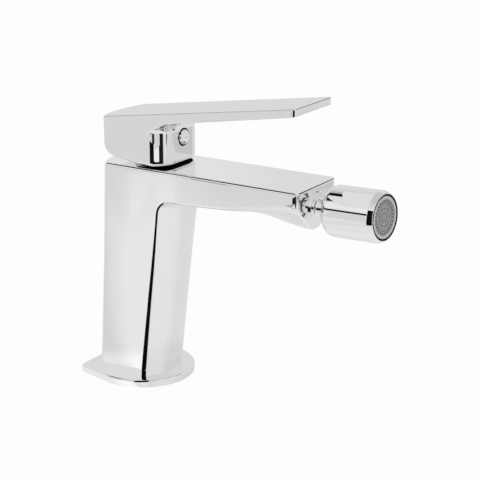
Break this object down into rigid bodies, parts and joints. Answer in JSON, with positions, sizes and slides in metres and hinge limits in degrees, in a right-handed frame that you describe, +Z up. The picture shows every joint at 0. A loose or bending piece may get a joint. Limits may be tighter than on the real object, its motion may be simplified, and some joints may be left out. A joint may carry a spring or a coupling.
{
  "type": "bidet mixer tap",
  "caption": "Single-lever deck-mounted bidet mixer in chrome: leaning column, flat spout, slab lever and ball-jointed outlet with an aerator.",
  "frame": {"origin": "on the deck plane, at the axis of the fixing hole, which is the centre of the tap hole", "axes": "+Z up, away from the deck; +X along the spout"},
  "size_m": [0.1891, 0.0592, 0.1748],
  "materials": {
    "chrome": "polished chrome plate",
    "rubber": "moulded black rubber",
    "brass": "machined brass",
    "black_plastic": "moulded black plastic",
    "white_plastic": "moulded white plastic",
    "ceramic": "lapped ceramic",
    "steel": "turned steel",
    "index_plastic": "glossy grey plug",
    "grey_plastic": "moulded grey plastic",
    "dark_plastic": "moulded dark grey plastic"
  },
  "bodies": {
    "mixer": {"mixer_body": "chrome", "base_flange": "chrome", "base_seal": "rubber", "cartridge_nut": "brass", "cover_ring": "chrome", "cartridge_housing": "white_plastic", "cartridge_foot": "white_plastic", "port_seals": "rubber", "fixed_ceramic_disc": "ceramic", "swivel_stem": "chrome", "stem_seal": "rubber"},
    "carrier": {"cartridge_carrier": "white_plastic", "pivot_pin": "steel"},
    "lever": {"lever_handle": "chrome", "cartridge_spindle": "brass", "grub_screw": "steel", "index_plug": "index_plastic"},
    "disc": {"moving_ceramic_disc": "ceramic", "disc_driver": "white_plastic"},
    "ball_turn": {"ball_liner": "white_plastic"},
    "ball_tilt": {"seat_ring": "white_plastic", "ball_seal": "rubber"},
    "outlet": {"swivel_housing": "chrome", "clamp_ring": "brass", "aerator_washer": "rubber", "aerator_body": "grey_plastic", "aerator_grid": "dark_plastic", "aerator_key_ring": "black_plastic"}
  },
  "joints": [
    {"name": "lever_swivel", "type": "hinge", "parent": "mixer", "child": "carrier", "pos_m": [0.003, 0, 0.1226], "axis": [0, 0, 1], "range_deg": [-45, 45]},
    {"name": "lever_lift", "type": "hinge", "parent": "carrier", "child": "lever", "pos_m": [0.003, 0, 0.1226], "axis": [0, -1, 0], "range_deg": [0, 17]},
    {"name": "disc_slide", "type": "slide", "parent": "carrier", "child": "disc", "axis": [1, 0, 0], "range_m": [0, 0.0037]},
    {"name": "outlet_turn", "type": "hinge", "parent": "mixer", "child": "ball_turn", "pos_m": [0.131, 0, 0.1186], "axis": [0, 0, 1], "range_deg": [-7.3, 16.7]},
    {"name": "outlet_tilt", "type": "hinge", "parent": "ball_turn", "child": "ball_tilt", "pos_m": [0.131, 0, 0.1186], "axis": [-0.0819, -0.9966, 0], "range_deg": [-14.9, 9.1]},
    {"name": "outlet_spin", "type": "hinge", "parent": "ball_tilt", "child": "outlet", "pos_m": [0.131, 0, 0.1186], "axis": [0.9954, -0.0818, 0.0506], "continuous": true}
  ],
  "couplings": [
    {"joint": "disc_slide", "follows": "lever_lift", "m_per_rad": 0.012}
  ]
}
